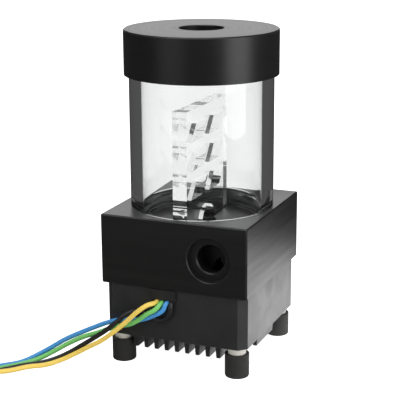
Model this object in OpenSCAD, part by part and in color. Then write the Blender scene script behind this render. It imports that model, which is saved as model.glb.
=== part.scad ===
// Coolant pump with a tube reservoir on top, for liquid cooling loops.
// Sizes are millimetres. Z is up, the feet stand on Z = 0, the tube's axis is X = Y = 0.
// The outlet port and the leads are on the front, which faces -Y.

/* [Pump top] */
// Side of the square pump top
top_side = 64; // [63:0.5:72]
// Height of the pump top
top_h = 29.5; // [28.5:0.5:36]
// Edge break on the machined blocks
edge = 0.5; // [0.2:0.1:1]
// Depth of the socket that the tube screws into
socket_depth = 7; // [6:0.5:8]
// Radius of the chamber that the impeller turns in
chamber_r = 19; // [18.5:0.5:20]
// Depth of the impeller chamber
chamber_h = 14; // [13.8:0.2:15]
// How much the spiral channel round the chamber widens up to the outlet
volute_grow = 2.3; // [1:0.1:3]
// Radius of the inlet between the reservoir and the impeller
inlet_r = 6; // [4:0.5:7]

/* [Ports] */
// Radius of the tapped bore of each port
port_r = 5.9; // [5:0.1:6.2]
// Radius of the flat recess round each port
recess_r = 9.3; // [8:0.1:9.6]
// Depth of that recess
recess_d = 2.3; // [1:0.1:3]
// Depth of the outlet's tapped bore, from the recess
outlet_depth = 9; // [7:0.5:11]
// Distance of the outlet port from the middle of the front
outlet_x = 15.6; // [14.6:0.2:16.6]
// Height of the outlet port above the bottom of the pump top
outlet_up = 14.8; // [14:0.2:16]
// Radius of the channel from the chamber to the outlet
channel_r = 3.8; // [3:0.1:4]
// Edge break round the ports and the socket
port_break = 0.3; // [0.1:0.1:0.5]

/* [Reservoir] */
// Outside diameter of the tube
tube_od = 60; // [58:0.5:60.5]
// Wall of the tube
tube_wall = 5; // [4:0.25:6]
// Length of tube between the pump top and the cap
tube_h = 55; // [40:5:200]
// How far the threaded ends are stepped in from the outside of the tube
thread_step = 1; // [0.8:0.1:1.2]
// Diameter of the cap
cap_d = 64; // [63.5:0.5:68]
// Height of the cap
cap_h = 18.5; // [16:0.5:24]
// Depth of the socket in the cap
cap_socket = 8.5; // [7.5:0.5:9]
// Thickness of the clear baffle plate
plate_t = 5.8; // [3:0.1:8]
// Width of the baffle plate
plate_w = 45; // [40:1:45]
// Height of the baffle plate above the pump top
plate_up = 43; // [36:1:50]

/* [Housing] */
// Side of the square heatsink housing
case_side = 62; // [61.5:0.5:63]
// Height of the housing's walls
case_h = 22; // [20.5:0.5:30]
// Flat cut on the housing's upright corners
case_cut = 3.2; // [1:0.1:4]
// Thickness of the housing's wall at the middle of a side
case_wall = 2.6; // [2.2:0.1:2.8]
// Thickness of the housing's floor
floor_t = 4.6; // [3:0.2:6]
// Depth of the cooling fins
fin_h = 5.6; // [3:0.2:7]
// Spacing of the cooling fins
fin_pitch = 4.6; // [4.4:0.05:4.7]
// Thickness of a fin at its root
fin_root = 2.6; // [2:0.1:3]
// Thickness of a fin at its tip
fin_tip = 1.6; // [1:0.1:2]

/* [Feet] */
// Radius of each rubber foot
foot_r = 5; // [4.6:0.1:5]
// Height of each rubber foot
foot_h = 10; // [8:0.5:14]
// Height of the spacer above each foot
spacer_h = 3; // [1:0.5:5]
// Radius of the spacer
spacer_r = 3.7; // [3:0.1:4]
// Distance of the feet and screws in from the housing's sides
foot_inset = 5.5; // [5.2:0.1:6]
// Radius of the long screws
screw_r = 2; // [1.5:0.1:2]

/* [Pump] */
// Radius of the rotor
rotor_r = 17; // [16.5:0.1:17.2]
// Radius of the separating dome
dome_r = 13.5; // [13:0.1:13.6]
// Radius of the bearing ball
ball_r = 2.25; // [2:0.05:2.4]
// Number of impeller vanes
vanes = 6; // [4:1:8]
// Angle that each vane sweeps back, from the eye to the rim
vane_sweep = 75; // [50:5:90]
// Number of stator poles
poles = 6; // [4:1:6]

/* [Leads] */
// Diameter of each lead
lead_d = 2; // [1.6:0.1:2]
// Turns in the stored coil
coil_turns = 2.25;
// Radius of the coil at the middle of its turns
coil_r = 12; // [11:0.5:13]

/* [Hidden] */
$fn = 96;

over = 1;            // how far a cutter runs past the face that it cuts
lap = 0.01;          // how far joined shapes reach into each other
run_gap = 0.1;       // radial gap of the screwed joints and the seals
seat_gap = 0.3;      // gap left under the ends of the tube

// plan
hollow_r = case_side / 2 - case_wall;    // the round hollow that holds the motor
foot_at = case_side / 2 - foot_inset;

// heights
z_case = foot_h + spacer_h;
z_top = z_case + case_h;                 // bottom of the pump top
z_deck = z_top + top_h;                  // its upper face
z_socket = z_deck - socket_depth;        // floor under the tube
z_cap = z_deck + tube_h;                 // bottom of the cap
z_roof = z_cap + cap_socket;             // roof of the cap's socket
z_lid = z_cap + cap_h;                   // top of everything

// tube and seals
tube_r = tube_od / 2;
bore_r = tube_r - tube_wall;
thread_r = tube_r - thread_step;
socket_r = thread_r + run_gap;
cord_r = 0.7;                            // half the thickness of the two tube seals
groove_w = 2 * cord_r + 2 * run_gap;
seal_slack = 0.02;
tube_seal_z = z_socket + 2.4;
cap_seal_z = z_roof - 1.9;
chamber_cord_r = 0.85;
chamber_seal_r = 24;

// outlet
lead_in = 0.5;                           // cone at the mouth of a tapped bore
tongue_angle = 48;                       // where the spiral channel starts, clockwise from +X
channel_x = chamber_r + volute_grow - channel_r;

// baffle
slot_d = 1;                              // depth of the slot that locates the baffle
plate_z = z_socket - slot_d;
plate_h = z_deck + plate_up - plate_z;
arch_r = inlet_r + 1;
flow_w = plate_w * 0.27;                 // each flow slot, its column and its rows
flow_h = plate_h * 0.135;
flow_side = plate_w * 0.21;
flow_low = plate_h * 0.34;
flow_step = plate_h * 0.235;

// motor
flange_t = 2;
flange_r = hollow_r + 0.8;
z_flange = z_top - flange_t;
z_dome = z_top - 6;                      // centre of the dome
shell_t = 1;
air_gap = 0.5;
z_ball = z_dome + dome_r + 1.7;
ball_play = 0.05;
ball_room = 0.25;                        // room between the ball and the dome
post_r = 1.5;
post_low = z_dome + 7.5;
boss_r = 3;                              // thickening of the dome round the post
rotor_low = z_top + 0.8;
disc_up = 9;                             // height of the impeller's disc in the chamber
z_disc = z_top + disc_up;
disc_t = 1.2;
vane_h = 2.4;
vane_t = 0.9;
shroud_t = 0.8;
eye_r = inlet_r + 0.5;
z_channel = z_top + chamber_h - 0.8 - channel_r;
core_r = dome_r - shell_t - 0.3;
leg_at = 7.5;
leg_r = 2.2;
winding_t = 1.3;
coil_foot = 3.4;                         // height of the windings above the board
pad_t = 1;
board_t = 1.6;
z_hollow = z_case + floor_t;
z_board = z_hollow + pad_t;
z_parts = z_board + board_t;             // upper face of the circuit board
carrier_r = hollow_r - 0.2;
carrier_bore = core_r + 0.1;
wall_t = 1.2;
part_at = (carrier_bore + carrier_r) / 2;    // circle that the board's parts stand on
can_r = 2.5;
can_h = 5;
chip = [5, 4, 1.4];
rim_t = 0.8;                             // rim of the rotor outside its magnet
magnet_h = 6;
magnet_bore = dome_r - 0.5;

// grommet, as an outline in X and height
tab_x = -4.4;
tab_w = 11.2;
tab_cut = 2;
tab_low = z_top - 7.4;
tab_back = flange_r + 0.3;               // its back clears the dome's flange
notch_y = sqrt(pow(hollow_r, 2) - pow(abs(tab_x) + tab_w / 2, 2)) - 0.5;
hood_low = z_top - 4.4;
hood_t = 0.9;
fit_gap = 0.1;
lead_r = lead_d / 2;
exit_z = z_top - 5.6;
exit_step = 2.2;
exit_x = [for (i = [0:3]) tab_x - 3 + exit_step * i];

// long screws
fin_inset = 2.5;                         // how far the long fins stop short of the sides
short_gap = 10.5;                        // room between a foot and a short fin
head_r = 3.5;
head_h = 2.6;
hex_r = 1.6;                             // hexagon socket, over its corners
seat_z = 4.5;                            // height of the seat in the foot
screw_bite = 10;
screw_gap = 0.05;

// Leads. Each route is a list of points: out of the grommet, down and along the ground.
// Beyond them the four leads lie side by side, meet the coil and end in two plugs.
coil_at = [-88, -66];
bundle_far = 30;                         // start of the stretch where the leads lie side by side
bundle_mid = 18;
power_touch = 5.2;                       // where each pair meets and leaves the coil
signal_touch = 8.6;
lane_dir = 231.5;
lane_u = [cos(lane_dir), sin(lane_dir)];
lane_v = [lane_u.y, -lane_u.x];
lane = lead_d + 0.15;                    // spacing of leads that lie side by side
low_z = lead_r + 0.05;
coil_z = lead_r + 0.45;
turn_rise = 2 * lane;
coil_low = coil_z - lead_r - 0.05;
coil_high = coil_z + coil_turns * turn_rise + lane + lead_r;
coil_in = coil_r - lane - 0.05;
coil_out = coil_r + lane + 0.05;
power_at = 28;                           // start of each plug past the coil
signal_at = 26;
power_size = [16, 21, 8];
signal_size = [12, 10.2, 5];
power_pitch = 5.08;
signal_pitch = 2.54;
key_w = 1.2;                             // ridges on top of the plugs
key_h = 0.8;
power_key = 6;                           // how far they lie from the middle
signal_key = 3.2;
power_cavity = 3.4;                      // square cavity of each contact
signal_cavity = 1.5;
power_mid = 10.6;                        // middle of each plug, out from the coil's middle
signal_mid = -6.8;

route_yellow = [[-7.4, -29.5, 29.4], [-7.4, -33.5, 29.6], [-9.4, -37, 29.4], [-12.4, -38.8, 27.2],
    [-15.5, -39, 24.2], [-19, -39.2, 20.8], [-23.5, -39.6, 16.8], [-29, -39.8, 12.4], [-35.5, -39.8, 8.4],
    [-41.5, -40.6, 4.8], [-46.8, -43, 2.2], [-51.4, -47.2, 1.1]];
route_green = [[-5.2, -29.5, 29.4], [-5.3, -33, 29.1], [-6.5, -35.1, 27.4], [-9.8, -36.8, 25.4],
    [-13, -36.7, 22.8], [-17, -36.3, 20.2], [-22, -35.4, 18.4], [-27, -35, 16.4], [-33, -35, 13.6],
    [-39.5, -35.6, 11], [-46, -37, 7.6], [-52, -39.8, 4], [-57, -44.2, 1.6]];
route_blue = [[-3, -29.5, 29.4], [-3, -32.4, 29.1], [-3.8, -33.3, 27], [-7.6, -34.2, 24.4], [-13, -34.4, 22],
    [-18, -33.8, 20.9], [-23, -33, 20], [-29, -32.8, 18], [-35.5, -33.2, 15], [-42, -34, 11.8],
    [-48.5, -35.4, 8.4], [-54.5, -38.2, 4.6], [-60, -43, 1.6]];
route_black = [[-0.8, -29.5, 29.4], [-0.8, -32.2, 29], [-1, -32.6, 26], [-3.5, -32.2, 22.6],
    [-7.5, -32.1, 21.6], [-12, -32.1, 23.4], [-15.6, -33, 24.8], [-19, -35.6, 24], [-22.5, -38, 21],
    [-27, -38, 17], [-32.5, -37.6, 12.8], [-38.5, -37.8, 8.6], [-44.5, -39.2, 4.6], [-50.2, -42.4, 1.9],
    [-54.6, -46.6, 1.1]];

// a point t before the coil, o to the side of the bundle's middle, z up
function before_coil(t, o, z) = let (p = coil_at + (-coil_r + o) * lane_v - t * lane_u) [p.x, p.y, z];
// a point s past the coil, o out from the coil's middle, z up
function past_coil(s, o, z) = let (p = coil_at + (coil_r + o) * lane_u + s * lane_v) [p.x, p.y, z];

// The last stretch before the coil. A low lead stays on the ground half a lane from the middle; a high
// lead starts one lane further out and climbs on top of it.
function low_lane(k, last) = [for (t = [bundle_far, bundle_mid, last]) before_coil(t, k * lane, low_z)];
function high_lane(side, last) =
    [for (p = [[bundle_far, 1.5, 0], [23, 1.5, 0], [17, 1.45, 0.25], [11, 1.2, 0.75], [last, 0.75, 1]])
    before_coil(p[0], side * p[1] * lane, low_z + p[2] * lane)];

// the last stretch, down from the coil into the plug
function tail(o, up, end, o_end, z_end) =
    let (z0 = coil_z + coil_turns * turn_rise + up * lane, far = end - 3)
    [for (p = [[o > 0 ? power_touch : signal_touch, 0, 0], [far * 0.48, 0.4, 0.08], [far * 0.66, 0.82, 0.4],
            [far * 0.83, 0.97, 0.8], [far, 1, 1], [end, 1, 1]])
        past_coil(p[0], o + (o_end - o) * p[1], z0 + (z_end - z0) * p[2])];

function unit(v) = v / norm(v);
function along(pts) = let (n = len(pts) - 1) [for (i = [0:n]) unit(pts[min(i + 1, n)] - pts[max(i - 1, 0)])];
function across(v, t) = unit(v - (v * t) * t);
// normals carried along the route without twisting
function normals(ts) = [for (i = 0, v = across([0.1, 0.2, 1], ts[0]); i < len(ts); i = i + 1,
    v = i < len(ts) ? across(v, ts[i]) : v) v];

// a round tube swept along the points
module sweep(pts, r, sides = 8) {
    ts = along(pts);
    ns = normals(ts);
    n = len(pts);
    rings = [for (i = [0:n - 1], k = [0:sides - 1]) let (a = 360 * k / sides, b = cross(ts[i], ns[i]))
        pts[i] + r * (cos(a) * ns[i] + sin(a) * b)];
    skin = [for (i = [0:n - 2], k = [0:sides - 1]) let (a = i * sides + k, b = i * sides + (k + 1) % sides)
        [a, a + sides, b + sides, b]];
    caps = [[for (k = [0:sides - 1]) k], [for (k = [0:sides - 1]) n * sides - 1 - k]];
    polyhedron(points = rings, faces = concat(skin, caps));
}

// square with its corners cut at 45 degrees
module cut_square(x, y, cut) {
    polygon([[cut - x / 2, -y / 2], [x / 2 - cut, -y / 2], [x / 2, cut - y / 2], [x / 2, y / 2 - cut],
        [x / 2 - cut, y / 2], [cut - x / 2, y / 2], [-x / 2, y / 2 - cut], [-x / 2, cut - y / 2]]);
}

// block with every edge broken
module machined_block(side, h, cut) {
    intersection() {
        linear_extrude(h) cut_square(side, side, cut);
        translate([0, side / 2, h / 2]) rotate([90, 0, 0]) linear_extrude(side) cut_square(side, h, cut);
        translate([-side / 2, 0, h / 2]) rotate([90, 0, 90]) linear_extrude(side) cut_square(side, h, cut);
    }
}

// ring with a round section
module seal_ring(r, section_r, z) {
    translate([0, 0, z]) rotate_extrude() translate([r, 0]) circle(section_r, $fn = 32);
}

module at_corners(d) {
    for (x = [-d, d], y = [-d, d]) translate([x, y, 0]) children();
}

// cutter for a socket that faces up, with a broken edge at its mouth
module socket_cutter(r, depth) {
    rotate_extrude() polygon([[0, over], [r + port_break, over], [r + port_break, 0], [r, -port_break],
        [r, -depth], [0, -depth]]);
}

// cutter for a port as one turned outline, mouth at the origin, going down: broken edge, recess,
// lead-in cone and tapped bore
module port_cutter(depth) {
    rotate_extrude() polygon([[0, over], [recess_r + port_break, over], [recess_r + port_break, 0],
        [recess_r, -port_break], [recess_r, -recess_d], [port_r + lead_in, -recess_d],
        [port_r, -recess_d - lead_in], [port_r, -recess_d - depth], [0, -recess_d - depth]]);
}

module reservoir_cap() color("#202020") {
    difference() {
        rotate_extrude() polygon([[0, z_cap], [cap_d / 2, z_cap], [cap_d / 2, z_lid - edge],
            [cap_d / 2 - edge, z_lid], [0, z_lid]]);
        translate([0, 0, z_cap]) mirror([0, 0, 1]) socket_cutter(socket_r, cap_socket);
        translate([0, 0, cap_seal_z - groove_w / 2]) cylinder(r = socket_r + 2 * cord_r, h = groove_w);
        translate([0, 0, z_lid]) port_cutter(cap_h);
    }
}

module cap_seal() color("#303030") seal_ring(socket_r + cord_r, cord_r - seal_slack, cap_seal_z);

module reservoir_tube() color("#dfeaf0", 0.35) {
    low = z_socket + seat_gap;
    high = z_roof - seat_gap;
    groove_r = thread_r - 2 * cord_r;
    rotate_extrude() polygon([[bore_r, low], [thread_r - edge, low], [thread_r, low + edge],
        [thread_r, tube_seal_z - groove_w / 2], [groove_r, tube_seal_z - groove_w / 2],
        [groove_r, tube_seal_z + groove_w / 2], [thread_r, tube_seal_z + groove_w / 2],
        [thread_r, z_deck], [tube_r, z_deck], [tube_r, z_cap], [thread_r, z_cap],
        [thread_r, high - edge], [thread_r - edge, high], [bore_r, high]]);
}

module tube_seal() color("#303030") seal_ring(thread_r - cord_r, cord_r - seal_slack, tube_seal_z);

// slanted flow slots, in the plane of the baffle
module flow_slots() {
    lean = flow_h * 0.4;
    for (i = [-1:2:1], j = [0:2]) translate([i * flow_side, flow_low + flow_step * j])
        polygon([[-flow_w / 2 - lean, -flow_h / 2], [flow_w / 2 - lean, -flow_h / 2],
            [flow_w / 2 + lean, flow_h / 2], [-flow_w / 2 + lean, flow_h / 2]]);
}

module baffle_plate() color("#e8f0f4", 0.4) {
    translate([-plate_t / 2, 0, plate_z]) rotate([90, 0, 90]) linear_extrude(plate_t)
        difference() {
            translate([-plate_w / 2, 0]) square([plate_w, plate_h]);
            flow_slots();
            translate([0, slot_d]) intersection() {
                circle(arch_r);
                translate([-arch_r, -slot_d - over]) square([2 * arch_r, arch_r + slot_d + over]);
            }
            translate([-arch_r, -over]) square([2 * arch_r, slot_d + over]);
        }
}

// cutter for a seal's groove in a face that looks down at Z = 0
module seal_groove(r, half) {
    rotate_extrude() translate([r - half, -over]) square([2 * half, over + 2 * half]);
}

// spiral outline round the chamber, which widens clockwise from the tongue up to the outlet channel
module volute(steps = 30) {
    polygon([for (i = [0:steps]) let (f = i / steps, a = -tongue_angle - (360 - tongue_angle) * f)
        (chamber_r + volute_grow * f) * [cos(a), sin(a)]]);
}

module pump_top() color("#252525") {
    difference() {
        translate([0, 0, z_top]) machined_block(top_side, top_h, edge);
        translate([0, 0, z_deck]) socket_cutter(socket_r, socket_depth);
        translate([0, 0, plate_z + slot_d / 2])
            cube([plate_t + fit_gap, plate_w + fit_gap, slot_d], center = true);
        translate([0, 0, z_top + chamber_h - over]) cylinder(r = inlet_r, h = top_h);
        translate([0, 0, z_top - over]) cylinder(r = chamber_r, h = chamber_h + over);
        translate([0, 0, z_channel - channel_r]) linear_extrude(2 * channel_r) volute();
        translate([0, 0, z_top]) seal_groove(chamber_seal_r, chamber_cord_r + seal_slack);
        translate([channel_x, 0, z_channel]) rotate([90, 0, 0])
            cylinder(r = channel_r, h = top_side / 2 - recess_d - outlet_depth / 2);
        translate([outlet_x, -top_side / 2, z_top + outlet_up]) rotate([90, 0, 0]) port_cutter(outlet_depth);
        translate([0, 0, z_top - over]) at_corners(foot_at)
            cylinder(r = screw_r + screw_gap, h = screw_bite + 2 * over);
    }
}

module chamber_seal() color("#303030") seal_ring(chamber_seal_r, chamber_cord_r, z_top + chamber_cord_r);

// One vane from the eye to the rim. It curves back against the turn, which is clockwise from above,
// and thins to an edge at both ends.
module vane(steps = 12) {
    root_r = eye_r - 1.6;
    tip_r = rotor_r - 0.2;
    mid = [for (i = [0:steps]) let (f = i / steps, a = vane_sweep * f)
        (root_r + (tip_r - root_r) * f) * [cos(a), sin(a)]];
    half = [for (i = [0:steps]) let (f = i / steps) vane_t * (0.2 + 1.2 * f * (1 - f))];
    side = [for (i = [0:steps]) let (d = mid[min(i + 1, steps)] - mid[max(i - 1, 0)])
        [-d.y, d.x] / norm(d) * half[i]];
    polygon(concat([for (i = [0:steps]) mid[i] + side[i]], [for (i = [steps:-1:0]) mid[i] - side[i]]));
}

module impeller() color("#e9e6dc") {
    disc_top = z_disc + disc_t;
    hub_r = ball_r + 1.4;
    hub_h = 1.8;
    vane_top = disc_top + vane_h;
    hollow = dome_r + air_gap;
    difference() {
        union() {
            translate([0, 0, rotor_low]) cylinder(r = rotor_r, h = z_disc - rotor_low + disc_t);
            translate([0, 0, disc_top - lap]) for (i = [0:vanes - 1])
                rotate([0, 0, 360 * i / vanes]) linear_extrude(vane_h + 2 * lap) vane();
            rotate_extrude() polygon([[eye_r, vane_top], [rotor_r, vane_top],
                [rotor_r, vane_top + shroud_t / 2], [eye_r + 1, vane_top + shroud_t],
                [eye_r, vane_top + shroud_t]]);
            translate([0, 0, disc_top - lap]) rotate_extrude()
                polygon([[0, 0], [hub_r + 1, 0], [hub_r, hub_h / 3], [hub_r - 0.6, hub_h * 0.8],
                    [hub_r - 1.6, hub_h], [0, hub_h]]);
        }
        translate([0, 0, z_dome]) sphere(hollow);
        translate([0, 0, z_ball]) sphere(ball_r + ball_play, $fn = 64);
        translate([0, 0, z_dome + dome_r - over])
            cylinder(r = ball_r + ball_play, h = z_ball - z_dome - dome_r + over);
        difference() {
            translate([0, 0, rotor_low - over]) cylinder(r = rotor_r - rim_t, h = magnet_h + over);
            translate([0, 0, rotor_low - 2 * over]) cylinder(r = magnet_bore, h = magnet_h + 4 * over);
        }
    }
}

module rotor_magnet() color("#4a4a4e") {
    translate([0, 0, rotor_low]) difference() {
        cylinder(r = rotor_r - rim_t, h = magnet_h);
        translate([0, 0, -over]) cylinder(r = magnet_bore, h = magnet_h + 2 * over);
    }
}

module bearing_ball() color("#f4f2ea") translate([0, 0, z_ball]) sphere(ball_r, $fn = 64);

module bearing_post() color("#c8ccd0") {
    difference() {
        translate([0, 0, post_low]) cylinder(r = post_r, h = z_ball - post_low - post_r);
        translate([0, 0, z_ball]) sphere(ball_r, $fn = 64);
    }
}

module separating_dome() color("#55595c") {
    difference() {
        union() {
            difference() {
                union() {
                    translate([0, 0, z_dome]) sphere(dome_r);
                    translate([0, 0, z_flange]) cylinder(r = flange_r, h = flange_t);
                }
                translate([0, 0, z_dome]) sphere(dome_r - shell_t);
            }
            intersection() {
                translate([0, 0, z_dome]) sphere(dome_r - shell_t / 2);
                translate([0, 0, post_low]) cylinder(r = boss_r, h = dome_r);
            }
        }
        translate([0, 0, z_flange - 2 * dome_r]) cylinder(r = flange_r, h = 2 * dome_r);
        translate([0, 0, z_dome]) cylinder(r = post_r, h = dome_r + over);
        translate([0, 0, z_ball - ball_r - ball_room]) cylinder(r = ball_r + ball_room, h = ball_r);
    }
}

module stator_core() color("#7d8288") {
    cap_low = z_dome + 1;                // underside of the pole caps
    cap_gap = 1.2;                       // gap between them
    yoke_h = coil_foot - 0.2;
    difference() {
        union() {
            intersection() {
                translate([0, 0, z_dome]) sphere(core_r);
                translate([0, 0, cap_low]) cylinder(r = core_r - 1, h = dome_r);
            }
            translate([0, 0, z_parts]) cylinder(r = core_r - 1, h = yoke_h);
            for (i = [0:poles - 1]) rotate([0, 0, 360 * i / poles])
                translate([leg_at, 0, z_parts + 1]) cylinder(r = leg_r, h = cap_low - z_parts);
        }
        translate([0, 0, z_parts - over]) cylinder(r = boss_r + 0.4, h = z_top + dome_r - z_parts);
        for (i = [0:poles - 1]) rotate([0, 0, 360 * (i + 0.5) / poles])
            translate([boss_r - 1, -cap_gap / 2, cap_low - over]) cube([core_r, cap_gap, dome_r + over]);
    }
}

module stator_coils() color("#b87333") {
    low = z_parts + coil_foot;
    h = z_dome + 0.8 - low;
    for (i = [0:poles - 1]) rotate([0, 0, 360 * i / poles]) translate([leg_at, 0, low]) difference() {
        cylinder(r = leg_r + winding_t, h = h);
        translate([0, 0, -over]) cylinder(r = leg_r + 0.05, h = h + 2 * over);
    }
}

// moulded carrier under the dome: a plate, two walls and six ribs
module motor_carrier() color("#2b2b2d") {
    h = z_flange - z_parts;
    translate([0, 0, z_parts]) difference() {
        cylinder(r = carrier_r, h = h);
        difference() {
            translate([0, 0, -over]) cylinder(r = carrier_r - wall_t, h = h - 2 * wall_t + over);
            translate([0, 0, -2 * over]) cylinder(r = carrier_bore + wall_t, h = h);
            for (a = [30:60:330]) rotate([0, 0, a]) translate([0, -wall_t / 2, 3])
                cube([carrier_r, wall_t, h]);
        }
        translate([0, 0, -over]) cylinder(r = carrier_bore, h = h + 2 * over);
    }
}

module circuit_board() color("#1d5c3a") {
    translate([0, 0, z_board]) cylinder(r = carrier_r, h = board_t);
    for (a = [0, 60, 120]) rotate([0, 0, a]) translate([part_at, 0, z_parts])
        cylinder(r = can_r, h = can_h);
    for (a = [180, 240, 300]) rotate([0, 0, a]) translate([part_at, 0, z_parts + chip.z / 2])
        cube(chip, center = true);
}

module thermal_pad() color("#7fa3c7") translate([0, 0, z_hollow]) cylinder(r = hollow_r - 4, h = pad_t);

// outline of the opening for the grommet
module tab_outline(w, low, high, cut) {
    translate([tab_x, 0]) polygon([[-w / 2, low + cut], [cut - w / 2, low], [w / 2 - cut, low],
        [w / 2, low + cut], [w / 2, high], [-w / 2, high]]);
}

module fin(length) {
    translate([0, length / 2, z_case]) rotate([90, 0, 0]) linear_extrude(length)
        polygon([[-fin_root / 2, lap], [-fin_tip / 2, -fin_h], [fin_tip / 2, -fin_h],
            [fin_root / 2, lap]]);
}

module heatsink_housing() color("#303236") {
    fin_half = floor((case_side / 2 - fin_root / 2 - 1) / fin_pitch);
    long_fin = case_side - 2 * fin_inset;
    short_fin = 2 * (foot_at - foot_r - short_gap);
    difference() {
        translate([0, 0, z_case]) linear_extrude(case_h) cut_square(case_side, case_side, case_cut);
        translate([0, 0, z_hollow]) cylinder(r = hollow_r, h = case_h);
        translate([0, 0, z_flange]) cylinder(r = flange_r + fit_gap, h = flange_t + over);
        translate([0, 0, z_case - over]) at_corners(foot_at)
            cylinder(r = screw_r + 3 * screw_gap, h = case_h + 2 * over);
        translate([0, -notch_y, 0]) rotate([90, 0, 0]) linear_extrude(case_side / 2 - notch_y + over)
            tab_outline(tab_w + 2 * fit_gap, tab_low - fit_gap, z_top + over, tab_cut);
    }
    for (i = [-fin_half:fin_half]) let (by_foot = abs(i) * fin_pitch + fin_root / 2 > foot_at - foot_r)
        translate([i * fin_pitch, 0, 0]) fin(by_foot ? short_fin : long_fin);
}

module cable_grommet() color("#1c1c1e") {
    face = case_side / 2;
    difference() {
        union() {
            translate([0, -tab_back, 0]) rotate([90, 0, 0]) linear_extrude(face - tab_back)
                tab_outline(tab_w, tab_low, z_top, tab_cut);
            translate([0, lap - face, 0]) rotate([90, 0, 0]) linear_extrude(hood_t + lap)
                intersection() {
                    tab_outline(tab_w, tab_low, z_top, tab_cut);
                    translate([tab_x - tab_w, hood_low]) square([2 * tab_w, z_top - hood_low]);
                }
        }
        for (x = exit_x) translate([x, over - tab_back, exit_z]) rotate([90, 0, 0])
            cylinder(r = lead_r + 0.05, h = face - tab_back + hood_t + 2 * over, $fn = 24);
    }
}

module foot_spacers() color("#f1eee6") {
    at_corners(foot_at) translate([0, 0, foot_h]) difference() {
        cylinder(r = spacer_r, h = spacer_h);
        translate([0, 0, -over]) cylinder(r = screw_r + 2 * screw_gap, h = spacer_h + 2 * over);
    }
}

module rubber_feet() color("#2a2a2a") {
    at_corners(foot_at) difference() {
        rotate_extrude($fn = 48) polygon([[0, 0], [foot_r - 0.6, 0], [foot_r - 0.2, 0.2], [foot_r, 0.6],
            [foot_r, foot_h - 0.2], [foot_r - 0.2, foot_h], [0, foot_h]]);
        translate([0, 0, -over]) cylinder(r = head_r + 4 * screw_gap, h = seat_z + over);
        cylinder(r = screw_r + 2 * screw_gap, h = foot_h + over);
    }
}

module long_screws() color("#b9bcc0") {
    at_corners(foot_at) difference() {
        union() {
            translate([0, 0, seat_z - head_h]) cylinder(r = head_r, h = head_h);
            translate([0, 0, seat_z - lap]) cylinder(r = screw_r, h = z_top - seat_z + screw_bite);
        }
        translate([0, 0, seat_z - head_h - over]) cylinder(r = hex_r, h = hex_r + over, $fn = 6);
    }
}

module lead_yellow() color("#f5cf3c") {
    sweep(concat(route_yellow, high_lane(-1, power_touch)), lead_r);
    sweep(tail(lane / 2, 1, power_at, power_side(1), power_size.z / 2), lead_r);
}
module lead_black() color("#222222") {
    sweep(concat(route_black, low_lane(-0.5, power_touch)), lead_r);
    sweep(tail(lane / 2, 0, power_at, power_side(0), power_size.z / 2), lead_r);
}
module lead_green() color("#4fae4a") {
    sweep(concat(route_green, low_lane(0.5, signal_touch)), lead_r);
    sweep(tail(-lane / 2, 0, signal_at, signal_side(3), signal_size.z / 2), lead_r);
}
module lead_blue() color("#3f83c9") {
    sweep(concat(route_blue, high_lane(1, signal_touch)), lead_r);
    sweep(tail(-lane / 2, 1, signal_at, signal_side(2), signal_size.z / 2), lead_r);
}

function power_side(k) = power_mid + (k - 1.5) * power_pitch;
function signal_side(k) = signal_mid + (k - 1.5) * signal_pitch;

module lead_coil() color("#6a6a40") {
    translate([coil_at.x, coil_at.y, 0]) rotate_extrude($fn = 72)
        polygon([[coil_in, coil_low], [coil_out, coil_low], [coil_out, coil_high], [coil_in, coil_high]]);
}

module coil_tie() color("#202020") {
    t = 0.3;
    w = 3;
    half = lane + 0.3;
    rise = coil_high - coil_low;
    translate([coil_at.x, coil_at.y, 0]) rotate([0, 0, lane_dir - 200]) translate([coil_r, 0, 0])
        difference() {
            translate([-half - t, -w / 2, coil_low - t]) cube([2 * (half + t), w, rise + 2 * t]);
            translate([-half, -w, coil_low]) cube([2 * half, 2 * w, rise]);
        }
}

// a plug laid flat past the coil: size is length, width, height; pins sit in square cavities
module plug(start, mid, size, pitch, cavity, key) {
    p = past_coil(start, mid, 0);
    translate(p) rotate([0, 0, lane_dir - 90]) difference() {
        union() {
            translate([0, -size.y / 2, 0]) cube([size.x, size.y, size.z]);
            for (k = key) translate([0, k - key_w / 2, size.z - lap]) cube([size.x * 0.6, key_w, key_h]);
        }
        for (i = [0:3]) translate([size.x * 0.4, (i - 1.5) * pitch - cavity / 2, size.z / 2 - cavity / 2])
            cube([size.x, cavity, cavity]);
    }
}

module power_plug() color("#e8e4da")
    plug(power_at, power_mid, power_size, power_pitch, power_cavity, [-power_key, power_key]);
module signal_plug() color("#242426")
    plug(signal_at, signal_mid, signal_size, signal_pitch, signal_cavity, [-signal_key, key_w / 2]);

reservoir_cap();
cap_seal();
reservoir_tube();
tube_seal();
baffle_plate();
pump_top();
chamber_seal();
impeller();
rotor_magnet();
bearing_ball();
bearing_post();
separating_dome();
stator_core();
stator_coils();
motor_carrier();
circuit_board();
thermal_pad();
heatsink_housing();
cable_grommet();
foot_spacers();
rubber_feet();
long_screws();
lead_yellow();
lead_green();
lead_blue();
lead_black();
lead_coil();
coil_tie();
power_plug();
signal_plug();
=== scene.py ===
import math
import bpy
from mathutils import Matrix, Vector


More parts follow.
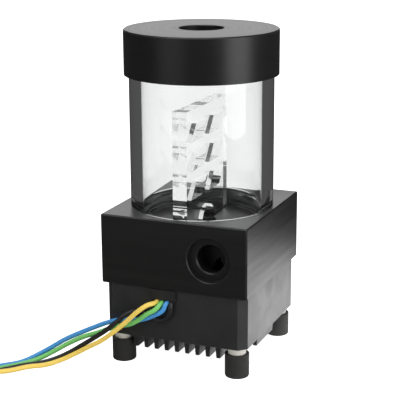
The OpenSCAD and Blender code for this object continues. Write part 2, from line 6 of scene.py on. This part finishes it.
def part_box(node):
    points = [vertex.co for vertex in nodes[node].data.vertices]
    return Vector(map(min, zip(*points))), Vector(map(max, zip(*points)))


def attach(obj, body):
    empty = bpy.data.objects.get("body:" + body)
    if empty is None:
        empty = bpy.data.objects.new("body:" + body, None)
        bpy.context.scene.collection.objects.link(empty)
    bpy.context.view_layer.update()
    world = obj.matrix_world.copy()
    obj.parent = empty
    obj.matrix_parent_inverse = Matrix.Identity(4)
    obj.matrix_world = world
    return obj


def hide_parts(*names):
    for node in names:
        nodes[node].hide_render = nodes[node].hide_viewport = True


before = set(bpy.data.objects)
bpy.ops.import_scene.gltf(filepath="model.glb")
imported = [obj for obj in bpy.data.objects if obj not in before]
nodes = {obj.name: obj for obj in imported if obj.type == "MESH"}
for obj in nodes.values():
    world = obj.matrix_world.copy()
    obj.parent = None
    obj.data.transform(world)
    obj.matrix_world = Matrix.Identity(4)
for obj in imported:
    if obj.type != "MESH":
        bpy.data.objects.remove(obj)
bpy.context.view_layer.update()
scene = bpy.context.scene
mm = 0.001
scene.view_settings.view_transform = "Standard"

cameraSetup = dict(
    place=(0.185957, -0.452998, 0.197679),
    azimuth=22.427,        # degrees round the object, 0 looks along +Y
    elevation=15.119,
    roll=-0.295,
    lens=108.04,           # on a 36 mm sensor
)


def makeCamera(setup):
    azimuth, elevation, roll = (math.radians(setup[k]) for k in ("azimuth", "elevation", "roll"))
    back = Vector((math.sin(azimuth) * math.cos(elevation), -math.cos(azimuth) * math.cos(elevation),
                   math.sin(elevation)))
    level = Vector((math.cos(azimuth), math.sin(azimuth), 0))
    above = back.cross(level)
    right = math.cos(roll) * level + math.sin(roll) * above
    up = -math.sin(roll) * level + math.cos(roll) * above
    data = bpy.data.cameras.new("mainCamera")
    data.lens = setup["lens"]
    data.sensor_width = 36
    data.clip_start, data.clip_end = 0.01, 20
    camera = bpy.data.objects.new("mainCamera", data)
    turn = Matrix((right, up, back)).transposed().to_4x4()
    camera.matrix_world = Matrix.Translation(setup["place"]) @ turn
    scene.collection.objects.link(camera)
    scene.camera = camera


makeCamera(cameraSetup)
print("camera placed")


def addObject(name, data, body=None, material=None):
    piece = bpy.data.objects.new(name, data)
    scene.collection.objects.link(piece)
    if material:
        data.materials.append(material)
    if body:
        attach(piece, body)
    return piece


def meshFrom(name, points, faces):
    mesh = bpy.data.meshes.new(name)
    mesh.from_pydata(points, [], faces)
    mesh.update()
    return mesh


def sharpened(mesh, angle=35):
    # smooth shading that stops at real edges
    mesh.shade_smooth()
    mesh.set_sharp_from_angle(angle=math.radians(angle))
    return mesh


def ringMesh(name, rows, sides):
    # rows of points round the Z axis, each row joined to the next and the last to the first
    points, faces = [], []
    for height, radius in rows:
        for i in range(sides):
            angle = 2 * math.pi * i / sides
            r = radius(angle) if callable(radius) else radius
            points.append((r * math.cos(angle), r * math.sin(angle), height))
    for j in range(len(rows)):
        here, after = j * sides, (j + 1) % len(rows) * sides
        for i in range(sides):
            k = (i + 1) % sides
            faces.append((here + i, here + k, after + k, after + i))
    return sharpened(meshFrom(name, points, faces))


def threadRows(low, high, radius, depth, pitch, perTurn=8):
    # rows of a screw thread cut into the radius, which fades out over a turn at both ends
    def atHeight(z):
        strength = max(0.0, min(1.0, (z - low) / pitch, (high - z) / pitch))

        def radiusAt(angle):
            phase = (z / pitch - angle / (2 * math.pi)) % 1.0
            cut = min(1.0, max(0.0, 2.5 * abs(2 * phase - 1) - 0.75))      # flat crest, sloped flanks
            return radius - depth * strength * cut
        return radiusAt

    count = max(2, int(round((high - low) / pitch * perTurn)))
    heights = [low + (high - low) * i / count for i in range(count + 1)]
    return [(z, atHeight(z)) for z in heights]


def newMaterial(name):
    material = bpy.data.materials.new(name)
    material.use_nodes = True
    tree = material.node_tree
    shader = tree.nodes["Principled BSDF"]
    return material, tree, shader


def node(tree, kind, **inputs):
    made = tree.nodes.new(kind)
    for key, value in inputs.items():
        setSocket(tree, made.inputs[key.replace("_", " ")], value)
    return made


def setSocket(tree, socket, value):
    if isinstance(value, bpy.types.NodeSocket):
        tree.links.new(value, socket)
    else:
        socket.default_value = value


def math2(tree, operation, a, b=0.0, clamp=False):
    made = tree.nodes.new("ShaderNodeMath")
    made.operation = operation
    made.use_clamp = clamp
    setSocket(tree, made.inputs[0], a)
    setSocket(tree, made.inputs[1], b)
    return made.outputs[0]


def mapRange(tree, value, fromMin, fromMax, toMin, toMax):
    made = node(tree, "ShaderNodeMapRange", Value=value)
    for key, number in zip(("From Min", "From Max", "To Min", "To Max"), (fromMin, fromMax, toMin, toMax)):
        setSocket(tree, made.inputs[key], number)
    return made.outputs[0]


def mixColour(tree, factor, a, b):
    made = tree.nodes.new("ShaderNodeMix")
    made.data_type = "RGBA"
    setSocket(tree, made.inputs[0], factor)
    setSocket(tree, made.inputs[6], a)
    setSocket(tree, made.inputs[7], b)
    return made.outputs[2]


def objectPoint(tree):
    return tree.nodes.new("ShaderNodeTexCoord").outputs["Object"]


def newGroup(name, inputs, outputs):
    tree = bpy.data.node_groups.new(name, "ShaderNodeTree")
    for label, kind, value in inputs:
        socket = tree.interface.new_socket(label, in_out="INPUT", socket_type=kind)
        if value is not None:
            socket.default_value = value
    for label, kind in outputs:
        tree.interface.new_socket(label, in_out="OUTPUT", socket_type=kind)
    return tree, tree.nodes.new("NodeGroupInput").outputs, tree.nodes.new("NodeGroupOutput").inputs


def useGroup(tree, group, **inputs):
    made = tree.nodes.new("ShaderNodeGroup")
    made.node_tree = group
    for key, value in inputs.items():
        setSocket(tree, made.inputs[key.replace("_", " ")], value)
    return made.outputs


def makeGrain():
    # fine moulding or blasting grain with slower blotches
    tree, given, out = newGroup(
        "surfaceGrain",
        [("Point", "NodeSocketVector", None), ("Grain Size", "NodeSocketFloat", 0.0004),
         ("Blotch Size", "NodeSocketFloat", 0.01)],
        [("Height", "NodeSocketFloat"), ("Blotch", "NodeSocketFloat")])
    fine = node(tree, "ShaderNodeTexNoise", Vector=given["Point"], Detail=3.0, Roughness=0.6,
                Scale=math2(tree, "DIVIDE", 1.0, given["Grain Size"]))
    slow = node(tree, "ShaderNodeTexNoise", Vector=given["Point"], Detail=4.0, Roughness=0.55,
                Scale=math2(tree, "DIVIDE", 1.0, given["Blotch Size"]))
    tree.links.new(fine.outputs["Fac"], out["Height"])
    tree.links.new(slow.outputs["Fac"], out["Blotch"])
    return tree


def makeTurning():
    # rings left by a lathe tool: across the radius on end faces, along the height on the side
    tree, given, out = newGroup(
        "turningMarks",
        [("Point", "NodeSocketVector", None), ("Feed", "NodeSocketFloat", 0.00025)],
        [("Height", "NodeSocketFloat"), ("Streak", "NodeSocketFloat")])
    parts = node(tree, "ShaderNodeSeparateXYZ", Vector=given["Point"]).outputs
    flat = node(tree, "ShaderNodeCombineXYZ", X=parts["X"], Y=parts["Y"])
    radius = tree.nodes.new("ShaderNodeVectorMath")
    radius.operation = "LENGTH"
    tree.links.new(flat.outputs[0], radius.inputs[0])
    where = math2(tree, "ADD", radius.outputs["Value"], parts["Z"])
    steps = math2(tree, "DIVIDE", where, given["Feed"])
    across = node(tree, "ShaderNodeCombineXYZ", X=steps)
    rings = node(tree, "ShaderNodeTexNoise", Vector=across.outputs[0], Scale=1.0, Detail=2.0, Roughness=0.7)
    bands = node(tree, "ShaderNodeTexNoise", Vector=across.outputs[0], Scale=0.07, Detail=3.0, Roughness=0.6)
    tree.links.new(rings.outputs["Fac"], out["Height"])
    tree.links.new(bands.outputs["Fac"], out["Streak"])
    return tree


def makeMilling():
    # long faint streaks from a face mill
    tree, given, out = newGroup(
        "millingMarks",
        [("Point", "NodeSocketVector", None), ("Width", "NodeSocketFloat", 0.0003)],
        [("Height", "NodeSocketFloat"), ("Streak", "NodeSocketFloat")])
    stretch = tree.nodes.new("ShaderNodeVectorMath")
    stretch.operation = "MULTIPLY"
    tree.links.new(given["Point"], stretch.inputs[0])
    stretch.inputs[1].default_value = (0.04, 0.04, 1)
    fine = node(tree, "ShaderNodeTexNoise", Vector=stretch.outputs[0], Detail=3.0, Roughness=0.65,
                Scale=math2(tree, "DIVIDE", 1.0, given["Width"]))
    wide = node(tree, "ShaderNodeTexNoise", Vector=stretch.outputs[0], Detail=2.0, Roughness=0.5,
                Scale=math2(tree, "DIVIDE", 0.12, given["Width"]))
    tree.links.new(fine.outputs["Fac"], out["Height"])
    tree.links.new(wide.outputs["Fac"], out["Streak"])
    return tree


def makeEdgeWear():
    # mask along outer edges, broken up a little
    tree, given, out = newGroup(
        "edgeWear",
        [("Point", "NodeSocketVector", None), ("Width", "NodeSocketFloat", 0.0003)],
        [("Edge", "NodeSocketFloat")])
    soft = node(tree, "ShaderNodeBevel", Radius=given["Width"])
    soft.samples = 4
    plain = tree.nodes.new("ShaderNodeNewGeometry")
    angle = tree.nodes.new("ShaderNodeVectorMath")
    angle.operation = "DOT_PRODUCT"
    tree.links.new(soft.outputs[0], angle.inputs[0])
    tree.links.new(plain.outputs["Normal"], angle.inputs[1])
    turned = mapRange(tree, angle.outputs["Value"], 0.995, 0.85, 0.0, 1.0)
    chips = node(tree, "ShaderNodeTexNoise", Vector=given["Point"], Scale=900.0, Detail=3.0)
    rough = mapRange(tree, chips.outputs["Fac"], 0.35, 0.6, 0.55, 1.0)
    tree.links.new(math2(tree, "MULTIPLY", turned, rough), out["Edge"])
    return tree


grainGroup = makeGrain()
turningGroup = makeTurning()
millingGroup = makeMilling()
edgeGroup = makeEdgeWear()


def addBump(tree, shader, height, strength, distance):
    bump = node(tree, "ShaderNodeBump", Height=height, Strength=strength, Distance=distance)
    tree.links.new(bump.outputs[0], shader.inputs["Normal"])


def grainy(name, colour, rough, grain=0.0004, bump=0.25, vary=0.12, depth=0.00004, metal=0.0):
    # plastic, rubber or metal with an even fine grain
    material, tree, shader = newMaterial(name)
    marks = useGroup(tree, grainGroup, Point=objectPoint(tree), Grain_Size=grain, Blotch_Size=grain * 22)
    shade = mapRange(tree, marks["Blotch"], 0.3, 0.7, 1 - vary, 1 + vary)
    dark = [c * (1 - vary) for c in colour] + [1]
    light = [min(1, c * (1 + vary)) for c in colour] + [1]
    base = mixColour(tree, mapRange(tree, marks["Blotch"], 0.3, 0.7, 0.0, 1.0), dark, light)
    tree.links.new(base, shader.inputs["Base Color"])
    tree.links.new(math2(tree, "MULTIPLY", shade, rough), shader.inputs["Roughness"])
    shader.inputs["Metallic"].default_value = metal
    addBump(tree, shader, marks["Height"], bump, depth)
    return material


leadSetup = dict(
    diameter=2 * mm,
    spacing=2.15 * mm,       # of leads that lie side by side
    coilCentre=(-88 * mm, -66 * mm),
    coilRadius=12 * mm,
    coilTurns=2.25,
    coilSteps=16,            # points in each turn
    laneDirection=231.5,     # degrees, the way the bundle runs into the coil
    coilLift=0.4 * mm,       # rise off the ground over the first quarter turn
    groundGap=0.05 * mm,
    touch={-1: 5.2, 1: 8.6},         # where the leads of each side meet the coil, in mm
    plugTail=3,                      # straight run into the plug, in mm
)
leads = {
    "Yellow": dict(
        colour=(0.95, 0.68, 0.13), slot="yellow_pvc", side=-1, level=1, plugAt=28, across=8.06, plugMiddle=4,
        route=[(-7.4, -29.5, 29.4), (-7.4, -33.5, 29.6), (-9.4, -37, 29.4), (-12.4, -38.8, 27.2),
               (-15.5, -39, 24.2), (-19, -39.2, 20.8), (-23.5, -39.6, 16.8), (-29, -39.8, 12.4),
               (-35.5, -39.8, 8.4), (-41.5, -40.6, 4.8), (-46.8, -43, 2.2), (-51.4, -47.2, 1.1)]),
    "Green": dict(
        colour=(0.2, 0.62, 0.16), slot="green_pvc", side=1, level=0, plugAt=26, across=-2.99, plugMiddle=2.5,
        route=[(-5.2, -29.5, 29.4), (-5.3, -33, 29.1), (-6.5, -35.1, 27.4), (-9.8, -36.8, 25.4),
               (-13, -36.7, 22.8), (-17, -36.3, 20.2), (-22, -35.4, 18.4), (-27, -35, 16.4), (-33, -35, 13.6),
               (-39.5, -35.6, 11), (-46, -37, 7.6), (-52, -39.8, 4), (-57, -44.2, 1.6)]),
    "Blue": dict(
        colour=(0.07, 0.33, 0.75), slot="blue_pvc", side=1, level=1, plugAt=26, across=-5.53, plugMiddle=2.5,
        route=[(-3, -29.5, 29.4), (-3, -32.4, 29.1), (-3.8, -33.3, 27), (-7.6, -34.2, 24.4), (-13, -34.4, 22),
               (-18, -33.8, 20.9), (-23, -33, 20), (-29, -32.8, 18), (-35.5, -33.2, 15), (-42, -34, 11.8),
               (-48.5, -35.4, 8.4), (-54.5, -38.2, 4.6), (-60, -43, 1.6)]),
    "Black": dict(
        colour=(0.02, 0.02, 0.022), slot="black_pvc", side=-1, level=0, plugAt=28, across=2.98, plugMiddle=4,
        route=[(-0.8, -29.5, 29.4), (-0.8, -32.2, 29), (-1, -32.6, 26), (-3.5, -32.2, 22.6),
               (-7.5, -32.1, 21.6), (-12, -32.1, 23.4), (-15.6, -33, 24.8), (-19, -35.6, 24),
               (-22.5, -38, 21), (-27, -38, 17), (-32.5, -37.6, 12.8), (-38.5, -37.8, 8.6),
               (-44.5, -39.2, 4.6), (-50.2, -42.4, 1.9), (-54.6, -46.6, 1.1)]),
}


def leadPoints(setup, lead):
    heading = math.radians(setup["laneDirection"])
    along = Vector((math.cos(heading), math.sin(heading), 0))
    across = Vector((along.y, -along.x, 0))
    centre = Vector((*setup["coilCentre"], 0))
    radius, gap, low = setup["coilRadius"], setup["spacing"], setup["diameter"] / 2 + setup["groundGap"]

    def beforeCoil(t, offset, height):
        return centre + across * (offset - radius) - along * t * mm + Vector((0, 0, height))

    points = [Vector(p) * mm for p in lead["route"]]
    last = setup["touch"][lead["side"]]
    if lead["level"]:
        lane = [(30, 1.5, 0), (23, 1.5, 0), (17, 1.45, 0.25), (11, 1.2, 0.75), (last, 0.75, 1)]
    else:
        lane = [(30, 0.5, 0), (18, 0.5, 0), (last, 0.5, 0)]
    points += [beforeCoil(t, lead["side"] * o * gap, low + z * gap) for t, o, z in lane]
    own = radius - lead["side"] * gap / 2
    steps = int(setup["coilTurns"] * setup["coilSteps"])
    for i in range(steps + 1):
        turn = i / setup["coilSteps"]
        angle = heading + math.pi / 2 - 2 * math.pi * turn
        height = low + setup["coilLift"] * min(1, 4 * turn) + gap * (2 * turn + lead["level"])
        points.append(centre + Vector((own * math.cos(angle), own * math.sin(angle), height)))
    start, height = points[-1], points[-1].z
    end = lead["plugAt"]
    far = end - setup["plugTail"]
    offset = -lead["side"] * gap / 2
    for s, o, z in [(0.48 * far, 0.4, 0.08), (0.66 * far, 0.82, 0.4), (0.83 * far, 0.97, 0.8), (far, 1, 1),
                    (end, 1, 1)]:
        side = offset + (lead["across"] * mm - offset) * o
        level = height + (lead["plugMiddle"] * mm - height) * z
        points.append(centre + along * (radius + side) + across * s * mm + Vector((0, 0, level)))
    return points


def makeLead(name, setup, lead):
    points = leadPoints(setup, lead)
    curve = bpy.data.curves.new("lead" + name, "CURVE")
    curve.dimensions = "3D"
    curve.bevel_depth = 1          # the knots' own radius brings it down to size
    curve.bevel_resolution = 5
    spline = curve.splines.new("BEZIER")
    spline.bezier_points.add(len(points) - 1)
    for knot, point in zip(spline.bezier_points, points):
        knot.co = point
        knot.radius = setup["diameter"] / 2
        knot.handle_left_type = knot.handle_right_type = "AUTO"
    material = grainy("pvc" + name, lead["colour"], 0.36, grain=0.0012, bump=0.15, vary=0.06, depth=0.00002)
    piece = addObject("lead" + name, curve, "base", material)
    spline.resolution_u = 8
    bpy.context.view_layer.update()
    return piece, points[0], spline.calc_length()


leadPieces = {name: makeLead(name, leadSetup, lead) for name, lead in leads.items()}
onLead = {
    "Yellow": ["power_plug"],
    "Black": ["power_plug", "coil_tie"],
    "Green": ["signal_plug"],
    "Blue": ["signal_plug"],
}
for name, extras in onLead.items():
    hidden = ["lead_" + name.lower()] + (["lead_coil"] if name == "Black" else [])
    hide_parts(*hidden)
print("leads laid")


acetalLook = dict(
    dark=(0.0065, 0.0065, 0.0066, 1),
    light=(0.013, 0.0128, 0.0125, 1),
    wornEdge=(0.16, 0.155, 0.15, 1),
    wear=0.35,
    edgeWidth=0.00035,
    rough=(0.3, 0.4),
    turningFeed=0.00022,
    millingWidth=0.0003,
)
anodisedLook = dict(
    dark=(0.018, 0.018, 0.019, 1),
    light=(0.028, 0.028, 0.029, 1),
    wornEdge=(0.3, 0.3, 0.3, 1),
    wear=0.3,
    edgeWidth=0.0003,
    rough=(0.34, 0.46),
    grain=0.00025,
    blotch=0.012,
)
acrylicLook = dict(
    colour=(0.985, 0.99, 0.99, 1),
    lampColour=(0.9, 0.92, 0.92, 1),     # what is left of a lamp's light behind it
    haze=0.02,
    waves=0.004,
)


def wornColour(tree, point, look, pattern):
    worn = useGroup(tree, edgeGroup, Point=point, Width=look["edgeWidth"])
    base = mixColour(tree, pattern, look["dark"], look["light"])
    return mixColour(tree, math2(tree, "MULTIPLY", worn["Edge"], look["wear"]), base, look["wornEdge"])


def makeAcetal(name, look, turned):
    # black acetal, either turned on a lathe or milled
    material, tree, shader = newMaterial(name)
    point = objectPoint(tree)
    if turned:
        marks = useGroup(tree, turningGroup, Point=point, Feed=look["turningFeed"])
    else:
        marks = useGroup(tree, millingGroup, Point=point, Width=look["millingWidth"])
    tree.links.new(wornColour(tree, point, look, marks["Streak"]), shader.inputs["Base Color"])
    tree.links.new(mapRange(tree, marks["Streak"], 0.3, 0.7, *look["rough"]), shader.inputs["Roughness"])
    shader.inputs["IOR"].default_value = 1.48
    addBump(tree, shader, marks["Height"], 0.5, 0.00002)
    return material


def makeAnodised(look):
    # bead-blasted black anodised aluminium
    material, tree, shader = newMaterial("blackAnodised")
    point = objectPoint(tree)
    marks = useGroup(tree, grainGroup, Point=point, Grain_Size=look["grain"], Blotch_Size=look["blotch"])
    tree.links.new(wornColour(tree, point, look, marks["Blotch"]), shader.inputs["Base Color"])
    tree.links.new(mapRange(tree, marks["Blotch"], 0.3, 0.7, *look["rough"]), shader.inputs["Roughness"])
    shader.inputs["IOR"].default_value = 1.65
    addBump(tree, shader, marks["Height"], 0.3, 0.00003)
    return material


def makeAcrylic(look):
    # clear acrylic; lamps shine through it, so that what is inside stays lit
    material, tree, shader = newMaterial("clearAcrylic")
    marks = useGroup(tree, grainGroup, Point=objectPoint(tree), Grain_Size=look["waves"], Blotch_Size=0.03)
    shader.inputs["Base Color"].default_value = look["colour"]
    shader.inputs["Transmission Weight"].default_value = 1.0
    shader.inputs["IOR"].default_value = 1.49
    tree.links.new(mapRange(tree, marks["Blotch"], 0.3, 0.7, 0.0, look["haze"]), shader.inputs["Roughness"])
    addBump(tree, shader, marks["Height"], 0.05, 0.00001)
    path = tree.nodes.new("ShaderNodeLightPath")
    through = tree.nodes.new("ShaderNodeBsdfTransparent")
    through.inputs["Color"].default_value = look["lampColour"]
    mix = tree.nodes.new("ShaderNodeMixShader")
    tree.links.new(path.outputs["Is Shadow Ray"], mix.inputs[0])
    tree.links.new(shader.outputs[0], mix.inputs[1])
    tree.links.new(through.outputs[0], mix.inputs[2])
    tree.links.new(mix.outputs[0], tree.nodes["Material Output"].inputs["Surface"])
    return material


tubeSetup = dict(
    sides=96,
    wall=5 * mm,
    step=1 * mm,             # of the threaded ends, in from the outside
    lead=0.5 * mm,           # chamfer at each end
    grooveDepth=1.4 * mm,
    grooveGap=0.1 * mm,      # above and below the seal
    pitch=1 * mm,
    threadDepth=0.4 * mm,
    shoulder=0.35 * mm,      # polished chamfer where the tube meets the block and the cap
)


def makeTube(setup, material):
    # the clear tube again, with its threads cut and its shoulders chamfered
    (_, _, low), (outer, _, high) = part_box("reservoir_tube")
    seat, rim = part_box("pump_top")[1][2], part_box("reservoir_cap")[0][2]
    bore, root = outer - setup["wall"], outer - setup["step"]
    cut, lead, pitch, gap = setup["shoulder"], setup["lead"], setup["pitch"], setup["grooveGap"]
    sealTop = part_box("tube_seal")[1][2] + gap
    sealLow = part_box("tube_seal")[0][2] - gap
    groove = root - setup["grooveDepth"]
    rows = [(low, bore), (low, root - lead), (low + lead, root), (sealLow, root), (sealLow, groove),
            (sealTop, groove), (sealTop, root)]
    rows += threadRows(sealTop + gap, seat - 2 * gap, root, setup["threadDepth"], pitch)
    rows += [(seat, root), (seat, outer - cut), (seat + cut, outer), (rim - cut, outer), (rim, outer - cut),
             (rim, root)]
    rows += threadRows(rim + 2 * gap, high - lead, root, setup["threadDepth"], pitch)
    rows += [(high, root - lead), (high, bore)]
    tube = addObject("threadedTube", ringMesh("threadedTube", rows, setup["sides"]), "tube", material)
    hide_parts("reservoir_tube")


acrylic = makeAcrylic(acrylicLook)
finishes = {
    "reservoir_cap": makeAcetal("acetalTurned", acetalLook, True),
    "pump_top": makeAcetal("acetalMilled", acetalLook, False),
    "heatsink_housing": makeAnodised(anodisedLook),
    "baffle_plate": acrylic,
    "rubber_feet": grainy("footRubber", (0.028, 0.027, 0.026), 0.72, grain=0.0005, bump=0.6, depth=0.00012),
    "foot_spacers": grainy("whiteNylon", (0.82, 0.79, 0.72), 0.42, grain=0.0006, vary=0.04),
    "cable_grommet": grainy("grommetPlastic", (0.018, 0.018, 0.019), 0.42, grain=0.0003),
    "motor_carrier": grainy("carrierPlastic", (0.02, 0.02, 0.021), 0.5, grain=0.0004),
    "coil_tie": grainy("tiePlastic", (0.02, 0.02, 0.021), 0.4, grain=0.0003),
    "signal_plug": grainy("plugBlack", (0.02, 0.02, 0.021), 0.45, grain=0.0004),
    "power_plug": grainy("plugNatural", (0.75, 0.71, 0.62), 0.4, grain=0.0005, vary=0.05),
    "cap_seal": grainy("sealRubber", (0.02, 0.02, 0.02), 0.5, grain=0.0003),
    "impeller": grainy("rotorPlastic", (0.72, 0.69, 0.6), 0.38, grain=0.0005, vary=0.05),
    "rotor_magnet": grainy("ferrite", (0.05, 0.05, 0.052), 0.6, grain=0.0003, vary=0.2),
    "bearing_ball": grainy("ceramicBall", (0.85, 0.84, 0.8), 0.12, grain=0.0008, bump=0.03, vary=0.02),
    "long_screws": grainy("screwSteel", (0.55, 0.56, 0.58), 0.3, grain=0.0003, vary=0.06, metal=1.0),
    "separating_dome": grainy("domePlastic", (0.06, 0.06, 0.065), 0.4, grain=0.0004),
    "stator_core": grainy("statorSteel", (0.35, 0.36, 0.38), 0.4, grain=0.0003, vary=0.1, metal=1.0),
    "stator_coils": grainy("copperWire", (0.7, 0.3, 0.13), 0.35, grain=0.00025, bump=0.8, vary=0.15,
                           metal=1.0),
    "circuit_board": grainy("boardGreen", (0.015, 0.13, 0.06), 0.4, grain=0.0006, vary=0.2),
    "thermal_pad": grainy("padSilicone", (0.25, 0.38, 0.5), 0.8, grain=0.0005),
}
for same, model in (("tube_seal", "cap_seal"), ("chamber_seal", "cap_seal"), ("bearing_post", "long_screws")):
    finishes[same] = finishes[model]
for name, material in finishes.items():
    mesh = nodes[name].data
    mesh.materials.clear()
    mesh.materials.append(material)
makeTube(tubeSetup, acrylic)
print("finishes set")


studio = dict(
    floorReach=1.8,
    fill=0.42,               # grey light from all round
    glossFill=0.05,          # what gloss sees where no lamp stands
    paintedRimShade=0.08,            # painted shade: the dark level that rays turned back in the rim of the tube see, which draws the tube's dark edge bands
    lamps={
        # place, aimed at, width and height, radiance
        "rightSoftbox": ((0.46, -0.12, 0.32), (0, 0, 0.32), (0.3, 0.64), 2.4),
        "leftSoftbox": ((-0.17, -0.44, 0.3), (0, 0, 0.3), (0.3, 0.6), 0.45),
        "topSoftbox": ((-0.1, -0.2, 1.0), (0, 0, 0.05), (0.9, 0.9), 1.3),
        "backPanel": ((-0.42, 1.02, 0.45), (0, 0, 0.2), (0.75, 0.75), 1.0),
    },
    paintedPoolCentre=(0.07, 0.06, 0),     # painted pool of light on the floor at the right and behind, which glows for gloss only
    paintedPoolReach=(0.05, 0.11),
    paintedPoolBright=2.2,
    floorLift=0.95,                  # white to the eye; lower it to bring out the object's shadow
    floorThrough=0.3,                # and this much through glass
)


def lamp(name, place, target, size, radiance):
    data = bpy.data.lights.new(name, "AREA")
    data.shape = "RECTANGLE"
    data.size, data.size_y = size
    data.energy = radiance * 4 * size[0] * size[1]      # a lamp's watts for that radiance
    made = bpy.data.objects.new(name, data)
    made.location = place
    made.rotation_mode = "QUATERNION"
    made.rotation_quaternion = (Vector(target) - Vector(place)).to_track_quat("-Z", "Y")
    made.visible_camera = False
    made.visible_transmission = False
    scene.collection.objects.link(made)


def turnedBack(tree, path):
    # 1 for rays that left the glass again after two surfaces, the mask of the painted dark edge bands
    few = math2(tree, "LESS_THAN", path["Transmission Depth"], 2.5)
    return math2(tree, "MULTIPLY", few, path["Is Transmission Ray"])


def makeFloorPaper(setup):
    # white to the eye; gloss sees it dark but for a painted pool of light, and rays turned back in the rim of
    # the tube see painted shade
    material = bpy.data.materials.new("floorPaper")
    material.use_nodes = True
    tree = material.node_tree
    tree.nodes.clear()
    path = tree.nodes.new("ShaderNodeLightPath").outputs
    paper = node(tree, "ShaderNodeBsdfDiffuse", Color=(0.8, 0.8, 0.8, 1))
    seen = math2(tree, "MULTIPLY", path["Is Camera Ray"], setup["floorLift"])
    through = math2(tree, "MULTIPLY", path["Is Transmission Ray"], setup["floorThrough"])
    lift = node(tree, "ShaderNodeEmission", Strength=math2(tree, "MAXIMUM", seen, through))
    white = tree.nodes.new("ShaderNodeAddShader")
    tree.links.new(paper.outputs[0], white.inputs[0])
    tree.links.new(lift.outputs[0], white.inputs[1])
    away = tree.nodes.new("ShaderNodeVectorMath")
    away.operation = "DISTANCE"
    tree.links.new(objectPoint(tree), away.inputs[0])
    away.inputs[1].default_value = setup["paintedPoolCentre"]
    near, far = setup["paintedPoolReach"]
    # painted pool of light: the floor glows brightest near the object, for gloss rays only
    bright = mapRange(tree, away.outputs["Value"], near, far, setup["paintedPoolBright"], setup["glossFill"])
    paintedPool = node(tree, "ShaderNodeEmission", Strength=bright)
    # painted shade for the tube's dark edge bands
    rim = node(tree, "ShaderNodeEmission", Strength=setup["paintedRimShade"])
    last = white.outputs[0]
    gloss = math2(tree, "SUBTRACT", path["Is Glossy Ray"], path["Is Transmission Ray"], clamp=True)
    for factor, other in ((gloss, paintedPool), (turnedBack(tree, path), rim)):
        mix = tree.nodes.new("ShaderNodeMixShader")
        tree.links.new(factor, mix.inputs[0])
        tree.links.new(last, mix.inputs[1])
        tree.links.new(other.outputs[0], mix.inputs[2])
        last = mix.outputs[0]
    tree.links.new(last, tree.nodes.new("ShaderNodeOutputMaterial").inputs["Surface"])
    return material


def makeStudio(setup):
    reach = setup["floorReach"]
    corners = [(-reach, -reach, 0), (reach, -reach, 0), (reach, reach, 0), (-reach, reach, 0)]
    floor = meshFrom("floor", corners, [(0, 1, 2, 3)])
    addObject("floor", floor, material=makeFloorPaper(setup))
    world = bpy.data.worlds.new("studioWorld")
    scene.world = world
    world.use_nodes = True
    tree = world.node_tree
    back = tree.nodes["Background"]
    path = tree.nodes.new("ShaderNodeLightPath").outputs
    level = mapRange(tree, path["Is Glossy Ray"], 0.0, 1.0, setup["fill"], setup["glossFill"])
    clear = math2(tree, "MAXIMUM", path["Is Camera Ray"], path["Is Transmission Ray"])
    level = mapRange(tree, clear, 0.0, 1.0, level, 1.0)
    # painted shade: rays turned back in the rim of the tube see a dark world, the tube's dark edge bands
    level = mapRange(tree, turnedBack(tree, path), 0.0, 1.0, level, setup["paintedRimShade"])
    tree.links.new(level, back.inputs["Strength"])
    back.inputs["Color"].default_value = (1, 1, 1, 1)
    for name, (place, target, size, radiance) in setup["lamps"].items():
        lamp(name, place, target, size, radiance)


makeStudio(studio)
print("studio lit")
